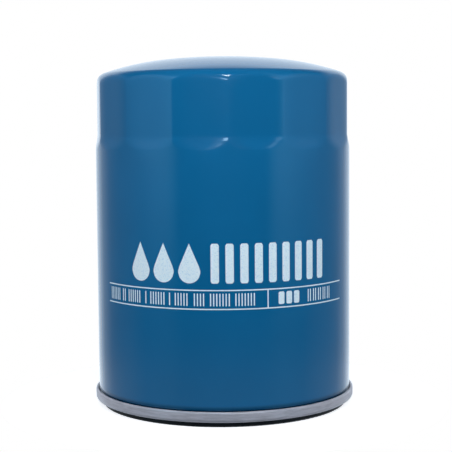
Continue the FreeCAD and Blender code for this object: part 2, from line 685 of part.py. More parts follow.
def make_bypass_valve_cage():
    body = turned("bypass_valve_cage", [
        ("guide_radius", "cage_bottom"),
        ("cage_radius", "cage_bottom", "cage_sheet + cage_bend"),
        ("cage_radius", UPPER_POTTING + " - cage_sheet", "cage_flange_bend"),
        ("cage_flange", UPPER_POTTING + " - cage_sheet"),
        ("cage_flange", UPPER_POTTING),
        ("cage_radius - cage_sheet", UPPER_POTTING),
        ("cage_radius - cage_sheet", CAGE_FLOOR, "cage_bend"),
        ("guide_radius + cage_sheet", CAGE_FLOOR, "guide_bend"),
        ("guide_radius + cage_sheet", CAGE_FLOOR + " + guide_collar"),
        ("guide_radius", CAGE_FLOOR + " + guide_collar"),
    ])
    slot = new_sketch(body, "cage_slot", "XZ_Plane")
    half = size("cage_slot_width / 2")
    sill = "(%s + cage_slot_sill)" % CAGE_FLOOR
    low = size(sill)
    high = size(sill + " + cage_slot_height")
    points = [vector(-half, low, 0), vector(half, low, 0), vector(half, high, 0),
              vector(-half, high, 0)]
    lines = [slot.addGeometry(Part.LineSegment(points[i - 1], points[i])) for i in range(4)]
    for i in range(4):
        slot.addConstraint(Sketcher.Constraint("Coincident", lines[i - 1], 2, lines[i], 1))
    slot.addConstraint(Sketcher.Constraint("Vertical", lines[0]))
    slot.addConstraint(Sketcher.Constraint("Vertical", lines[2]))
    slot.addConstraint(Sketcher.Constraint("Horizontal", lines[3]))
    slot.addConstraint(Sketcher.Constraint("Symmetric", lines[1], 1, lines[1], 2, -2))
    pin_point(slot, "right", lines[2], 1, "cage_slot_width / 2", sill)
    bind_number(slot, "high", ("DistanceY", lines[2], 1, lines[2], 2), "cage_slot_height")
    pocket_all_round(body, slot, "cage_slot_count", depth="cage_radius + overrun")
    return body


def make_bypass_seat():
    return turned("bypass_seat", [
        ("port_radius", UPPER_POTTING, "seat_edge"),
        ("seat_radius", UPPER_POTTING),
        ("seat_radius", UPPER_POTTING + " + seat_height", "seat_edge"),
        ("port_radius", UPPER_POTTING + " + seat_height", "port_edge"),
    ])


def make_bypass_poppet():
    return turned("bypass_poppet", [
        ("0", SEAL_BOTTOM + " + poppet_boss_rise"),
        ("0", "stem_end"),
        ("stem_radius", "stem_end", "stem_tip"),
        ("stem_radius", POPPET_BOTTOM, "stem_root"),
        ("poppet_radius", POPPET_BOTTOM, "poppet_edge"),
        ("poppet_radius", SEAL_BOTTOM, "poppet_edge"),
        ("poppet_boss", SEAL_BOTTOM),
        ("poppet_boss", SEAL_BOTTOM + " + poppet_boss_rise", "boss_edge"),
    ])


def make_bypass_poppet_seal():
    return turned("bypass_poppet_seal", [
        ("seal_inner", SEAL_BOTTOM),
        ("seal_outer", SEAL_BOTTOM),
        ("seal_outer", UPPER_POTTING, "seal_edge"),
        ("seal_inner", UPPER_POTTING, "seal_edge"),
    ])


# ---------------------------------------------------------------- assembly

nodes = [
    make_can(),
    make_seaming_lid(),
    make_seam_compound(),
    make_sealing_gasket(),
    make_tapping_plate(),
    make_anti_drainback_valve(),
    make_element_grommet(),
    make_lower_end_cap(),
    make_lower_cap_adhesive(),
    make_filter_media(),
    make_media_seam_clip(),
    make_centre_tube(),
    make_upper_cap_adhesive(),
    make_upper_end_cap(),
    make_bypass_valve_cage(),
    make_bypass_seat(),
    make_bypass_poppet(),
    make_bypass_poppet_seal(),
    coil("bypass_spring", "bypass_coil", "bypass_wire", CAGE_FLOOR, POPPET_BOTTOM, "bypass_turns"),
    coil("load_spring", "load_coil", "load_wire", "upper_cap_face", "load_top", "load_turns"),
]
doc.recompute()

failed = [item.Name for item in doc.Objects if {"Invalid", "Error"} & set(item.State)]
if failed:
    raise RuntimeError("failed objects: " + ", ".join(failed))

os.makedirs("parts", exist_ok=True)
for node in nodes:
    shape = node.Shape
    if shape.isNull() or not shape.isValid() or len(shape.Solids) != 1:
        raise RuntimeError(node.Label + " isn't one valid solid")
    box = shape.BoundBox
    print("%-22s %9.1f mm3  z %7.2f to %7.2f  radius %5.2f"
          % (node.Label, shape.Volume, box.ZMin, box.ZMax, box.XMax))
    shape.exportStep(os.path.join("parts", node.Label + ".step"))
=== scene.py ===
import json
import math

import bmesh
import bpy
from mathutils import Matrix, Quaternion, Vector


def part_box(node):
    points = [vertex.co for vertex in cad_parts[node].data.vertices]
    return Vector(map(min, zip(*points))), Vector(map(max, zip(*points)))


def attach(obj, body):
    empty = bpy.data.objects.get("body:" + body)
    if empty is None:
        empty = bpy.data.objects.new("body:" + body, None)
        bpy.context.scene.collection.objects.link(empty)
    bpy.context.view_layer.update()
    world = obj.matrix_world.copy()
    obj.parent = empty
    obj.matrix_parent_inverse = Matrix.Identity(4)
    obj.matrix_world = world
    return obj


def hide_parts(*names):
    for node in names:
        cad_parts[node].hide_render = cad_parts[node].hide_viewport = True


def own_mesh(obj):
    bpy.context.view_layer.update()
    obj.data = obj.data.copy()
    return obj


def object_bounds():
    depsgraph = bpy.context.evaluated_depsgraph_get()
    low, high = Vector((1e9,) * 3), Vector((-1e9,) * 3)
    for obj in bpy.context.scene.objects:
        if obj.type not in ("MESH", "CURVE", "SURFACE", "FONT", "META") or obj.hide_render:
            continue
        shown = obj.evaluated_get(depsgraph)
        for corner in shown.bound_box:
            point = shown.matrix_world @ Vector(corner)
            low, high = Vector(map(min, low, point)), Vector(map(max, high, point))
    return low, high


# Spin-on oil filter. Metres, +Z up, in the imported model's own frame: the gasket's sealing face is
# z = 0 and a ridge between two wrench flats points along -Y, which is also the label's middle.

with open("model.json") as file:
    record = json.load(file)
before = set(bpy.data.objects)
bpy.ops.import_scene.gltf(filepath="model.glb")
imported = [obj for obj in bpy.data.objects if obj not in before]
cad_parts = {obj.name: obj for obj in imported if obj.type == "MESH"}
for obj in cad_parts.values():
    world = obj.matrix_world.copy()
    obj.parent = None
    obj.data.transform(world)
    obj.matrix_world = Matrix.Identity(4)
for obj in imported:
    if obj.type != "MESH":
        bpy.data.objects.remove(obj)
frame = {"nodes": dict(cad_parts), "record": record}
cad_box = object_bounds()

MM = 0.001

# ---------------------------------------------------------------- sizes

# The can. Its dome is three arcs, and the crown's arc ends at CROWN_REACH from the axis.
CAN_RADIUS = 48.0 * MM
CAN_WALL = 0.42 * MM
CAN_TOP = cad_box[1].z
CAN_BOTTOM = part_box("can")[0].z
CROWN_RADIUS = 215.0 * MM
CROWN_REACH = 22.0 * MM
SHOULDER_RADIUS = 105.0 * MM
CORNER_RADIUS = 5.0 * MM
NECK_RADIUS = 47.8 * MM
NECK_TOP = 101.9 * MM
NECK_FOOT = 100.1 * MM

# The wrench flats are straight above FLAT_FOOT, and run out into the side below it.
FLATS = 15
COLUMNS_PER_FLAT = 40
FLAT_APOTHEM = 47.05 * MM
FLAT_FOOT = 102.6 * MM
RUN_OUT_RADIUS = 12.0 * MM
RUN_OUT_END = 97.0 * MM
EDGE_SOFTNESS = 0.7 * MM

# The hook is the can's own edge, folded into the seam.
HOOK_INNER = 48.44 * MM
HOOK_OUTER = 48.86 * MM
HOOK_TOP = 5.1 * MM
HOOK_CHAMFER = 0.54 * MM

# Over the seam the side is rolled in, with a fine bead. Inside the seam it returns to its radius.
SEAM_TOP = 5.95 * MM
SIDE_FOOT = SEAM_TOP + 3.0 * MM
ROLL_TOP = SEAM_TOP + 1.75 * MM
ROLL_LENGTH = 2.0 * MM
ROLL_DEPTH = 0.36 * MM
RETURN_TOP = SEAM_TOP - 0.3 * MM
RETURN_FOOT = SEAM_TOP - 0.65 * MM
BEAD_MIDDLE = SEAM_TOP + 0.42 * MM
BEAD_REACH = 0.18 * MM
BEAD_HEIGHT = 0.13 * MM

# The tapping plate, with its threaded bore and its ring of oil inlets.
PLATE_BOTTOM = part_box("tapping_plate")[0].z
HUB_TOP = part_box("tapping_plate")[1].z
PLATE_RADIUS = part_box("tapping_plate")[1].x
PLATE_TOP = PLATE_BOTTOM + 3.6 * MM
HUB_RADIUS = 17.0 * MM
THREAD_MINOR = 12.42 * MM
THREAD_MAJOR = 13.5 * MM
THREAD_PITCH = 2.0 * MM
THREAD_CREST = 0.14
THREAD_FLANK = 0.74
BORE_CHAMFER = 0.8 * MM
FADE_FOOT = PLATE_BOTTOM + 0.6 * MM
FADE_FOOT_LENGTH = 1.2 * MM
FADE_HEAD = HUB_TOP - 0.4 * MM
FADE_HEAD_LENGTH = 1.0 * MM
INLET_RADIUS = 3.5 * MM
INLET_CIRCLE = 28.0 * MM
INLET_COUNT = 8


# ---------------------------------------------------------------- mesh helpers

def smooth_min(a, b, width):
    """The lower of a and b, with the corner between them rounded over width."""
    overlap = max(width - abs(a - b), 0.0) / width
    return min(a, b) - overlap * overlap * width / 4


def smooth_step(share):
    """0 below 0, 1 above 1, and an even S-curve between them."""
    share = min(max(share, 0.0), 1.0)
    return share * share * (3 - 2 * share)


def arc_points(centre, radius, first, last, steps):
    """Points of an arc in the radius-height plane. Angles are in degrees from the radius axis."""
    angles = [math.radians(first + (last - first) * i / steps) for i in range(steps + 1)]
    return [(centre[0] + radius * math.cos(a), centre[1] + radius * math.sin(a)) for a in angles]


def line_points(first, last, steps):
    """Points after first, up to and including last."""
    return [(first[0] + (last[0] - first[0]) * i / steps, first[1] + (last[1] - first[1]) * i / steps)
            for i in range(1, steps + 1)]


def rounded(corners, arc_step=18.0):
    """A closed outline with arcs at its corners. Each corner is (radius, height, arc radius)."""
    points = []
    for i, (r, z, bend) in enumerate(corners):
        here = Vector((r, z))
        if not bend:
            points.append((r, z))
            continue
        back = (Vector(corners[i - 1][:2]) - here).normalized()
        ahead = (Vector(corners[(i + 1) % len(corners)][:2]) - here).normalized()
        half = back.angle(ahead) / 2
        centre = here + (back + ahead).normalized() * (bend / math.sin(half))
        start = here + back * (bend / math.tan(half)) - centre
        end = here + ahead * (bend / math.tan(half)) - centre
        first = math.atan2(start.y, start.x)
        turn = (math.atan2(end.y, end.x) - first + math.pi) % math.tau - math.pi
        steps = max(2, round(math.degrees(abs(turn)) / arc_step))
        for k in range(steps + 1):
            angle = first + turn * k / steps
            points.append((centre.x + bend * math.cos(angle), centre.y + bend * math.sin(angle)))
    return points


def mesh_object(name, vertices, faces, smooth=True):
    """A new object in the scene, with its faces turned outwards."""
    mesh = bpy.data.meshes.new(name)
    mesh.from_pydata(vertices, [], faces)
    made = bmesh.new()
    made.from_mesh(mesh)
    bmesh.ops.recalc_face_normals(made, faces=made.faces)
    made.to_mesh(mesh)
    made.free()
    for face in mesh.polygons:
        face.use_smooth = smooth
    mesh.update()
    piece = bpy.data.objects.new(name, mesh)
    bpy.context.scene.collection.objects.link(piece)
    return piece


def round_rule(radius, height, angle):
    """The rule of a point that keeps its radius all the way round."""
    return radius


def ruled(points, rule):
    """Outline points for lathe, all with one rule."""
    return [(r, z, rule) for r, z in points]


def lathe(name, outline, columns, closed=True):
    """A solid of revolution about Z.

    Each point of the outline is (radius, height, rule), and rule(radius, height, angle) gives the
    point's radius at an angle. A closed outline is a ring's section. An open one starts and ends on
    the axis."""
    rows = outline if closed else outline[1:-1]
    vertices = []
    for r, z, rule in rows:
        for c in range(columns):
            angle = math.tau * c / columns
            radius = rule(r, z, angle)
            vertices.append((radius * math.cos(angle), radius * math.sin(angle), z))
    faces = []
    for k in range(len(rows) if closed else len(rows) - 1):
        low, high = k * columns, (k + 1) % len(rows) * columns
        for c in range(columns):
            following = (c + 1) % columns
            faces.append((low + c, low + following, high + following, high + c))
    if not closed:
        for row, end in ((0, outline[0]), (len(rows) - 1, outline[-1])):
            pole = len(vertices)
            vertices.append((0.0, 0.0, end[1]))
            start = row * columns
            for c in range(columns):
                faces.append((start + c, start + (c + 1) % columns, pole))
    return mesh_object(name, vertices, faces)


def apply_modifiers(piece):
    """Give the piece the mesh that its modifiers make, and drop them."""
    graph = bpy.context.evaluated_depsgraph_get()
    mesh = bpy.data.meshes.new_from_object(piece.evaluated_get(graph))
    piece.modifiers.clear()
    piece.data = mesh


def sharpen(piece, degrees=32.0):
    """Smooth shading with hard edges where faces meet at more than the angle."""
    for face in piece.data.polygons:
        face.use_smooth = True
    piece.data.set_sharp_from_angle(angle=math.radians(degrees))


# ---------------------------------------------------------------- materials

def new_material(name, metallic=0.0, roughness=0.5, specular=0.5):
    """A material with its uniform values on the shader's own sockets."""
    material = bpy.data.materials.new(name)
    material.use_nodes = True
    shader = material.node_tree.nodes["Principled BSDF"]
    shader.inputs["Metallic"].default_value = metallic
    shader.inputs["Roughness"].default_value = roughness
    shader.inputs["Specular IOR Level"].default_value = specular
    return material


def coordinates(material, stretch=(1.0, 1.0, 1.0)):
    """The object's own coordinates, stretched."""
    nodes, links = material.node_tree.nodes, material.node_tree.links
    source = nodes.new("ShaderNodeTexCoord")
    mapping = nodes.new("ShaderNodeMapping")
    mapping.inputs["Scale"].default_value = stretch
    links.new(source.outputs["Object"], mapping.inputs["Vector"])
    return mapping.outputs["Vector"]


def noise(material, scale, detail=3.0, stretch=(1.0, 1.0, 1.0), rough=0.5):
    """Noise from 0 to 1. scale is its grains per metre."""
    texture = material.node_tree.nodes.new("ShaderNodeTexNoise")
    texture.inputs["Scale"].default_value = scale
    texture.inputs["Detail"].default_value = detail
    texture.inputs["Roughness"].default_value = rough
    material.node_tree.links.new(coordinates(material, stretch), texture.inputs["Vector"])
    return texture.outputs["Fac"]


def colour_band(tree, value, stops):
    """Colours along a value: stops of (position, colour)."""
    node = tree.nodes.new("ShaderNodeValToRGB")
    band = node.color_ramp
    while len(band.elements) < len(stops):
        band.elements.new(0.5)
    for element, (position, colour) in zip(band.elements, stops):
        element.position = position
        element.color = (*colour, 1.0)
    tree.links.new(value, node.inputs["Fac"])
    return node.outputs["Color"]


def ramp(material, value, stops):
    return colour_band(material.node_tree, value, stops)


def remap(material, value, low, high, from_low=0.3, from_high=0.7):
    """A value brought from one range to another, and kept inside it."""
    node = material.node_tree.nodes.new("ShaderNodeMapRange")
    node.inputs["From Min"].default_value = from_low
    node.inputs["From Max"].default_value = from_high
    node.inputs["To Min"].default_value = low
    node.inputs["To Max"].default_value = high
    material.node_tree.links.new(value, node.inputs["Value"])
    return node.outputs["Result"]


def plug(material, socket, value):
    """Link a value to one of the shader's sockets."""
    shader = material.node_tree.nodes["Principled BSDF"]
    material.node_tree.links.new(value, shader.inputs[socket])


def bump(material, height, strength, distance):
    """Small unevenness. distance is its depth in metres at full strength."""
    nodes, links = material.node_tree.nodes, material.node_tree.links
    node = nodes.new("ShaderNodeBump")
    node.inputs["Strength"].default_value = strength
    node.inputs["Distance"].default_value = distance
    links.new(height, node.inputs["Height"])
    plug(material, "Normal", node.outputs["Normal"])


def shades(colour, spread):
    """A darker and a lighter version of a colour."""
    return [tuple(channel * (1 - spread) for channel in colour),
            tuple(min(channel * (1 + spread), 1.0) for channel in colour)]


# Painted shade: the enamel's colour is darkened to this share at the foot, just over the seam, rising to
# full colour at the top, as if in the crevice's shade.
PAINTED_SHADE_FOOT = SEAM_TOP + 0.2 * MM
PAINTED_SHADE_TOP = SEAM_TOP + 2.0 * MM
PAINTED_SHADE_LEVEL = 0.3


def enamel():
    """Glossy stoved enamel: even colour, a faint orange peel, and shade painted into the crevice over the
    seam.
    """
    material = new_material("blue_enamel")
    dark, light = shades((0.0051, 0.131, 0.304), 0.03)
    colour = ramp(material, noise(material, 45.0), [(0.3, dark), (0.7, light)])
    nodes, links = material.node_tree.nodes, material.node_tree.links
    # Painted shade over the seam: the colour is scaled down towards the seam's top, where the crevice
    # lies in shade.
    split = nodes.new("ShaderNodeSeparateXYZ")
    links.new(coordinates(material), split.inputs["Vector"])
    unshaded_share = remap(material, split.outputs["Z"], PAINTED_SHADE_LEVEL, 1.0, PAINTED_SHADE_FOOT, PAINTED_SHADE_TOP)
    painted_shade = nodes.new("ShaderNodeVectorMath")
    painted_shade.operation = "SCALE"
    links.new(colour, painted_shade.inputs["Vector"])
    links.new(unshaded_share, painted_shade.inputs["Scale"])
    plug(material, "Base Color", painted_shade.outputs["Vector"])
    plug(material, "Roughness", remap(material, noise(material, 320.0), 0.095, 0.135))
    bump(material, noise(material, 620.0, detail=1.5), 0.12, 0.02 * MM)
    return material


def print_ink():
    """Screen-printed ink: pale, less glossy than the enamel, thin in places."""
    material = new_material("pale_ink", specular=0.4)
    grain = noise(material, 2600.0, detail=2.0, rough=0.6)
    plug(material, "Base Color", ramp(material, grain, [(0.28, (0.5, 0.7, 0.88)),
                                                        (0.46, (0.8, 0.93, 1.0)),
                                                        (0.8, (0.9, 0.98, 1.0))]))
    plug(material, "Roughness", remap(material, grain, 0.34, 0.26))
    bump(material, grain, 0.1, 0.02 * MM)
    return material


def steel(name, colour, roughness, streak=(1.0, 1.0, 30.0), scale=60.0, spread=0.13, metallic=1.0):
    """Bare pressed steel: fine drawing lines, broken tone and a soft sheen."""
    material = new_material(name, metallic=metallic, roughness=roughness)
    lines = noise(material, scale, detail=5.0, stretch=streak, rough=0.65)
    cloud = noise(material, 55.0, detail=2.0)
    dark, light = shades(colour, spread)
    plug(material, "Base Color", ramp(material, lines, [(0.3, dark), (0.7, light)]))
    plug(material, "Roughness", remap(material, cloud, roughness - 0.07, roughness + 0.07))
    bump(material, lines, 0.5, 0.006 * MM)
    return material


def rubber(name, colour, roughness=0.6):
    """Matt moulded rubber with a fine grain."""
    material = new_material(name, roughness=roughness, specular=0.35)
    grain = noise(material, 1500.0)
    dark, light = shades(colour, 0.25)
    plug(material, "Base Color", ramp(material, grain, [(0.3, dark), (0.7, light)]))
    plug(material, "Roughness", remap(material, grain, roughness - 0.08, roughness + 0.1))
    bump(material, grain, 0.25, 0.02 * MM)
    return material


def paper():
    """Resin-treated filter paper: short fibres and a dimpled face."""
    material = new_material("filter_paper", roughness=0.85, specular=0.2)
    fibres = noise(material, 900.0, detail=6.0, stretch=(1.0, 1.0, 0.35), rough=0.7)
    plug(material, "Base Color", ramp(material, fibres, [(0.3, (0.5, 0.33, 0.13)),
                                                         (0.55, (0.68, 0.5, 0.25)),
                                                         (0.75, (0.8, 0.65, 0.4))]))
    bump(material, fibres, 0.5, 0.06 * MM)
    return material


def plastisol():
    """The cured adhesive that the pleats stand in."""
    material = new_material("plastisol", roughness=0.45, specular=0.4)
    cloud = noise(material, 160.0)
    plug(material, "Base Color", ramp(material, cloud, [(0.3, (0.44, 0.2, 0.07)),
                                                        (0.7, (0.56, 0.3, 0.12))]))
    bump(material, cloud, 0.4, 0.1 * MM)
    return material


# By the record's material slots, with "print" for the label, which has no slot.
MATERIALS = {
    "can_paint": enamel(),
    "print": print_ink(),
    "lid_steel": steel("seam_steel", (0.58, 0.55, 0.605), 0.4, streak=(1.0, 1.0, 9.0), scale=150.0,
                       spread=0.2, metallic=0.3),
    "seam_compound": rubber("grey_compound", (0.16, 0.17, 0.16)),
    "gasket_rubber": rubber("gasket_rubber", (0.011, 0.012, 0.014), 0.5),
    "plate_steel": steel("plate_steel", (0.42, 0.42, 0.44), 0.42, streak=(8.0, 1.0, 1.0)),
    "valve_rubber": rubber("valve_rubber", (0.03, 0.03, 0.032)),
    "grommet_rubber": rubber("grommet_rubber", (0.026, 0.026, 0.028)),
    "cap_steel": steel("cap_steel", (0.52, 0.52, 0.54), 0.36, streak=(1.0, 8.0, 1.0)),
    "potting": plastisol(),
    "media_paper": paper(),
    "clip_steel": steel("clip_steel", (0.58, 0.58, 0.6), 0.3),
    "tube_steel": steel("tube_steel", (0.48, 0.48, 0.5), 0.38, streak=(1.0, 1.0, 6.0)),
    "cage_steel": steel("cage_steel", (0.5, 0.5, 0.52), 0.34, streak=(1.0, 1.0, 0.2)),
    "seat_steel": steel("seat_steel", (0.55, 0.55, 0.57), 0.28),
    "poppet_steel": steel("poppet_steel", (0.52, 0.52, 0.54), 0.3),
    "seal_rubber": rubber("seal_rubber", (0.03, 0.03, 0.032)),
    "spring_steel": steel("spring_steel", (0.24, 0.24, 0.26), 0.36, streak=(1.0, 1.0, 1.0)),
}


def dress(piece, slot_name):
    """Give a piece its slot's material, and no other."""
    piece.data.materials.clear()
    piece.data.materials.append(MATERIALS[slot_name])


def add_piece(piece, slot_name, body, node):
    """Give a new piece its slot's material and its body, and hide the CAD node that it takes the place
    of.
    """
    dress(piece, slot_name)
    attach(piece, body)
    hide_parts(node)
    return piece


# ---------------------------------------------------------------- can

def dome_outline(inset, crown_steps, corner_steps):
    """Crown, shoulder and corner arcs from the axis to the neck, moved inwards by inset."""
    top = CAN_TOP - inset
    crown = CROWN_RADIUS - inset
    shoulder = SHOULDER_RADIUS - inset
    corner = CORNER_RADIUS - inset
    tilt = math.asin(CROWN_REACH / CROWN_RADIUS)
    outward = Vector((math.sin(tilt), math.cos(tilt)))
    crown_centre = Vector((0.0, top - crown))
    shoulder_centre = crown_centre + outward * (crown - shoulder)
    corner_across = NECK_RADIUS - inset - corner
    steep = math.asin((corner_across - shoulder_centre.x) / (shoulder - corner))
    corner_centre = shoulder_centre + Vector((math.sin(steep), math.cos(steep))) * (shoulder - corner)
    tilt_angle = 90.0 - math.degrees(tilt)
    steep_angle = 90.0 - math.degrees(steep)
    points = arc_points(crown_centre, crown, 90.0, tilt_angle, crown_steps)
    points += arc_points(shoulder_centre, shoulder, tilt_angle, steep_angle, crown_steps)[1:]
    points += arc_points(corner_centre, corner, steep_angle, 0.0, corner_steps)[1:]
    return points


def roll_in(height):
    """How far the can's side is rolled in at a height: a curve into the seam, with a fine bead on it.

    Inside the seam, out of sight, the side comes back to the can's radius."""
    share = min(max((ROLL_TOP - height) / ROLL_LENGTH, 0.0), 1.0)
    visible = smooth_step((height - RETURN_FOOT) / (RETURN_TOP - RETURN_FOOT))
    bead = BEAD_HEIGHT * smooth_step(1 - abs(height - BEAD_MIDDLE) / BEAD_REACH)
    return ROLL_DEPTH * share ** 3 * visible - bead


def side_outline(inset, start_height, foot_height, step, rolled=True):
    """From start_height down to foot_height: the neck, its widening to the can, and the can's side.

    step is the distance between the points down to the end of the flats' run-outs. Where rolled is
    set, the side is rolled in a little over the seam."""
    steps = round((start_height - RUN_OUT_END) / step)
    points = []
    for i in range(1, steps + 1):
        height = start_height + (RUN_OUT_END - start_height) * i / steps
        widen = smooth_step((NECK_TOP - height) / (NECK_TOP - NECK_FOOT))
        points.append((NECK_RADIUS + (CAN_RADIUS - NECK_RADIUS) * widen - inset, height))
    points += line_points(points[-1], (CAN_RADIUS - inset, SIDE_FOOT), steps=24)
    fine_steps, fine_step = 60, 0.06 * MM
    for i in range(1, fine_steps + 1):
        height = SIDE_FOOT - i * fine_step
        points.append((CAN_RADIUS - inset - (roll_in(height) if rolled else 0.0), height))
    points.append((CAN_RADIUS - inset, foot_height))
    return points


def fluted(inset):
    """The rule of a point on the can's wall: the radius that the wrench flats leave there."""
    def rule(radius, height, angle):
        pitch = math.tau / FLATS
        from_flat = (angle - math.pi / 2 + pitch / 2) % pitch - pitch / 2
        run_out = max(FLAT_FOOT - height, 0.0) ** 2 / (2 * RUN_OUT_RADIUS)
        apothem = FLAT_APOTHEM + run_out
        return smooth_min(radius, (apothem - inset) / math.cos(from_flat), EDGE_SOFTNESS)

    return rule


def make_can():
    """The drawn can: its outside, its foot in the seam, and its inside."""
    outer = dome_outline(0.0, crown_steps=10, corner_steps=26)
    outer += side_outline(0.0, outer[-1][1], CAN_BOTTOM + CAN_WALL, step=0.25 * MM)
    hook = [
        (HOOK_INNER, CAN_BOTTOM + CAN_WALL),
        (HOOK_INNER, HOOK_TOP),
        (HOOK_OUTER, HOOK_TOP),
        (HOOK_OUTER, CAN_BOTTOM + HOOK_CHAMFER),
        (HOOK_OUTER - HOOK_CHAMFER, CAN_BOTTOM),
    ]
    inner = dome_outline(CAN_WALL, crown_steps=5, corner_steps=12)
    inner += side_outline(CAN_WALL, inner[-1][1], CAN_BOTTOM, step=1.2 * MM, rolled=False)
    outline = ruled(outer, fluted(0.0)) + ruled(hook, round_rule) + ruled(inner[::-1], fluted(CAN_WALL))
    return lathe("painted_can", outline, columns=FLATS * COLUMNS_PER_FLAT, closed=False)


can = add_piece(make_can(), "can_paint", "housing", "can")
sharpen(can, degrees=50.0)


# ---------------------------------------------------------------- tapping plate with its thread

def thread_depth(height, angle):
    """How far the helical groove cuts past the minor radius.

    Of each half pitch the crest is THREAD_CREST and the flank THREAD_FLANK, and the rest is the
    groove's floor. The groove fades out short of both ends of the bore."""
    turn = (height / THREAD_PITCH - angle / math.tau) % 1.0
    across = 1.0 - abs(2.0 * turn - 1.0)
    groove = min(max((across - THREAD_CREST) / THREAD_FLANK, 0.0), 1.0)
    lead_in = smooth_step((height - FADE_FOOT) / FADE_FOOT_LENGTH)
    lead_out = smooth_step((FADE_HEAD - height) / FADE_HEAD_LENGTH)
    return (THREAD_MAJOR - THREAD_MINOR) * groove * lead_in * lead_out


def bore_rule(radius, height, angle):
    """The rule of a point on the threaded bore."""
    return radius + thread_depth(height, angle)


def cut_inlets(plate):
    """Cut the ring of oil inlets through the plate."""
    cutter_length = 12.0 * MM
    cutters = bmesh.new()
    for i in range(INLET_COUNT):
        angle = math.tau * i / INLET_COUNT
        made = bmesh.ops.create_cone(cutters, segments=48, radius1=INLET_RADIUS, radius2=INLET_RADIUS,
                                     depth=cutter_length, cap_ends=True)
        place = Vector((INLET_CIRCLE * math.cos(angle), INLET_CIRCLE * math.sin(angle), PLATE_BOTTOM))
        bmesh.ops.translate(cutters, verts=made["verts"], vec=place)
    mesh = bpy.data.meshes.new("inlet_cutters")
    cutters.to_mesh(mesh)
    cutters.free()
    tool = bpy.data.objects.new("inlet_cutters", mesh)
    bpy.context.scene.collection.objects.link(tool)
    cut = plate.modifiers.new("inlets", "BOOLEAN")
    cut.operation = "DIFFERENCE"
    cut.object = tool
    cut.solver = "EXACT"
    apply_modifiers(plate)
    bpy.data.objects.remove(tool)


def make_plate():
    """A flat plate with a hub, whose bore is threaded."""
    corners = rounded([
        (THREAD_MINOR + BORE_CHAMFER, PLATE_BOTTOM, 0.0),
        (PLATE_RADIUS, PLATE_BOTTOM, 0.8 * MM),
        (PLATE_RADIUS, PLATE_TOP, 0.4 * MM),
        (HUB_RADIUS, PLATE_TOP, 1.5 * MM),
        (HUB_RADIUS, HUB_TOP, 0.8 * MM),
    ])
    bore_top = (THREAD_MINOR, HUB_TOP)
    bore_foot = (THREAD_MINOR, PLATE_BOTTOM + BORE_CHAMFER)
    bore = [bore_top] + line_points(bore_top, bore_foot, steps=96)
    outline = ruled(corners, round_rule) + ruled(bore, bore_rule)
    plate = lathe("threaded_plate", outline, columns=240)
    cut_inlets(plate)
    sharpen(plate)
    return plate


plate = add_piece(make_plate(), "plate_steel", "housing", "tapping_plate")


# ---------------------------------------------------------------- printed label

INK_FACE = CAN_RADIUS + 0.03 * MM
INK_BACK = CAN_RADIUS - 0.1 * MM
LABEL_STEP = 0.45 * MM


def ink_shape(label, left, right, low, high):
    """Add a printed shape to the label's vertices and faces.

    left and right are distances round the can from the label's middle. low and high give the
    shape's lower and upper edge at such a distance."""
    steps = max(2, math.ceil((right - left) / LABEL_STEP))
    vertices, faces = label
    first = len(vertices)
    for i in range(steps + 1):
        across = left + (right - left) * i / steps
        angle = across / CAN_RADIUS - math.pi / 2
        foot, head = low(across), high(across)
        for radius, height in ((INK_FACE, foot), (INK_FACE, head), (INK_BACK, head), (INK_BACK, foot)):
            vertices.append((radius * math.cos(angle), radius * math.sin(angle), height))
    for i in range(steps):
        near, far = first + 4 * i, first + 4 * (i + 1)
        for k in range(4):
            following = (k + 1) % 4
            faces.append((near + k, far + k, far + following, near + following))
    last = first + 4 * steps
    faces.append((first, first + 1, first + 2, first + 3))
    faces.append((last + 3, last + 2, last + 1, last))


def ink_bar(label, left, right, foot, head, corner=0.0):
    """A bar, which may have rounded corners."""
    def inset(across):
        reach = max(corner - min(across - left, right - across), 0.0)
        return corner - math.sqrt(max(corner * corner - reach * reach, 0.0))

    ink_shape(label, left, right, lambda x: foot + inset(x), lambda x: head - inset(x))


def ink_drop(label, middle, width, foot, head):
    """A drop: a round foot whose sides close to a point at the top."""
    radius = width / 2
    centre = foot + radius
    tip = head - centre
    lean = math.asin(radius / tip)
    touch = radius * math.cos(lean)

    def low(x):
        return centre - math.sqrt(max(radius ** 2 - (x - middle) ** 2, 0.0))

    def high(x):
        offset = abs(x - middle)
        if offset > touch:
            return centre + math.sqrt(max(radius ** 2 - offset ** 2, 0.0))
        return head - offset * (tip - radius * math.sin(lean)) / touch

    edge = 0.02 * MM
    ink_shape(label, middle - radius + edge, middle + radius - edge, low, high)


RULE = 0.42 * MM
RULE_LEFT, RULE_RIGHT = -52.2 * MM, 49.8 * MM
UPPER_RULE, LOWER_RULE = 48.6 * MM, 42.0 * MM
DIVIDER = 13.6 * MM
DEVICE_FOOT, DEVICE_HEAD = 51.0 * MM, 64.9 * MM
MARK_FOOT, MARK_HEAD = 43.1 * MM, 47.5 * MM
MARK_WIDTH, MARK_PITCH = 0.42 * MM, 1.08 * MM


def print_rules(label):
    """Two long rules with a divider between them."""
    for height in (UPPER_RULE, LOWER_RULE):
        ink_bar(label, RULE_LEFT, RULE_RIGHT, height - RULE / 2, height + RULE / 2)
    ink_bar(label, DIVIDER - RULE / 2, DIVIDER + RULE / 2, LOWER_RULE + RULE / 2, UPPER_RULE - RULE / 2)


def print_device(label):
    """The large device over the rules: three drops of oil, then the folds of a filter."""
    drop_width, drop_pitch, first_drop = 8.0 * MM, 9.7 * MM, -33.6 * MM
    for i in range(3):
        ink_drop(label, first_drop + i * drop_pitch, drop_width, DEVICE_FOOT, DEVICE_HEAD)
    fold_width, fold_pitch, first_fold = 2.9 * MM, 5.15 * MM, -6.6 * MM
    for i in range(9):
        left = first_fold + i * fold_pitch
        ink_bar(label, left, left + fold_width, DEVICE_FOOT, DEVICE_HEAD, corner=0.7 * MM)


